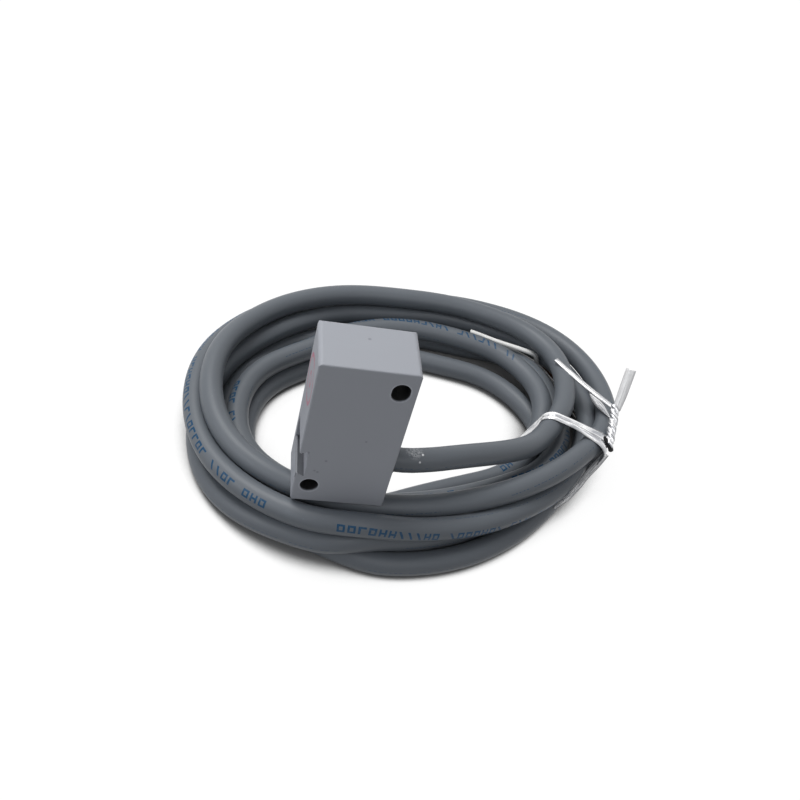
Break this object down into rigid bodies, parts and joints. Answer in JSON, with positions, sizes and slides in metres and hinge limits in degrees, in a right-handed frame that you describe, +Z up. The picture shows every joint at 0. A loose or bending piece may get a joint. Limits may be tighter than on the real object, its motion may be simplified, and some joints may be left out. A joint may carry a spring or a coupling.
{
  "type": "inductive proximity switch",
  "caption": "Grey block inductive proximity switch with two diagonal fixing holes, a dovetail groove and a coiled grey cable held by a twist tie.",
  "frame": {"origin": "centre of the round fixing hole at the mounting face", "axes": "+X from the sensing face towards the cable side, +Y out of the mounting face along the fixing screws, +Z up along the body's height"},
  "size_m": [0.1013, 0.0876, 0.0487],
  "materials": {
    "case_plastic": "satin moulded",
    "cover_plastic": "satin moulded",
    "resin": "cast",
    "ferrite": "sintered",
    "bobbin_plastic": "moulded",
    "enamelled_copper": "enamelled",
    "board": "solder mask",
    "chip_body": "moulded",
    "diode_glass": "glazed",
    "capacitor_body": "moulded",
    "capacitor_ceramic": "fired",
    "lamp_body": "moulded",
    "lamp_window": "clear moulded",
    "solder": "satin",
    "bush_rubber": "matte",
    "clamp_steel": "pressed",
    "jacket": "satin extruded",
    "core_brown": "extruded",
    "core_blue": "extruded",
    "core_black": "extruded",
    "core_white": "extruded",
    "tie_foil": "clear film over wire"
  },
  "bodies": {
    "root": {"housing": "case_plastic", "rear_cover": "cover_plastic", "potting_resin": "resin", "ferrite_core": "ferrite", "coil_bobbin": "bobbin_plastic", "coil_winding": "enamelled_copper", "coil_leads": "enamelled_copper", "circuit_board": "board", "oscillator_ic": "chip_body", "output_transistor": "chip_body", "protection_diode": "chip_body", "zener_diode": "diode_glass", "supply_capacitor": "capacitor_body", "tank_capacitor": "capacitor_ceramic", "chip_resistors": "chip_body", "indicator_led": "lamp_body", "indicator_lens": "lamp_window", "solder_joints": "solder", "cable_bush": "bush_rubber", "cable_clamp": "clamp_steel", "cable_stub": "jacket", "wire_brown": "core_brown", "wire_blue": "core_blue", "wire_black": "core_black", "wire_white": "core_white", "cable_lead": "jacket", "cable_coil": "jacket", "twist_tie": "tie_foil", "end_core_brown": "core_brown", "end_core_blue": "core_blue", "end_core_black": "core_black", "end_core_white": "core_white"}
  },
  "joints": []
}
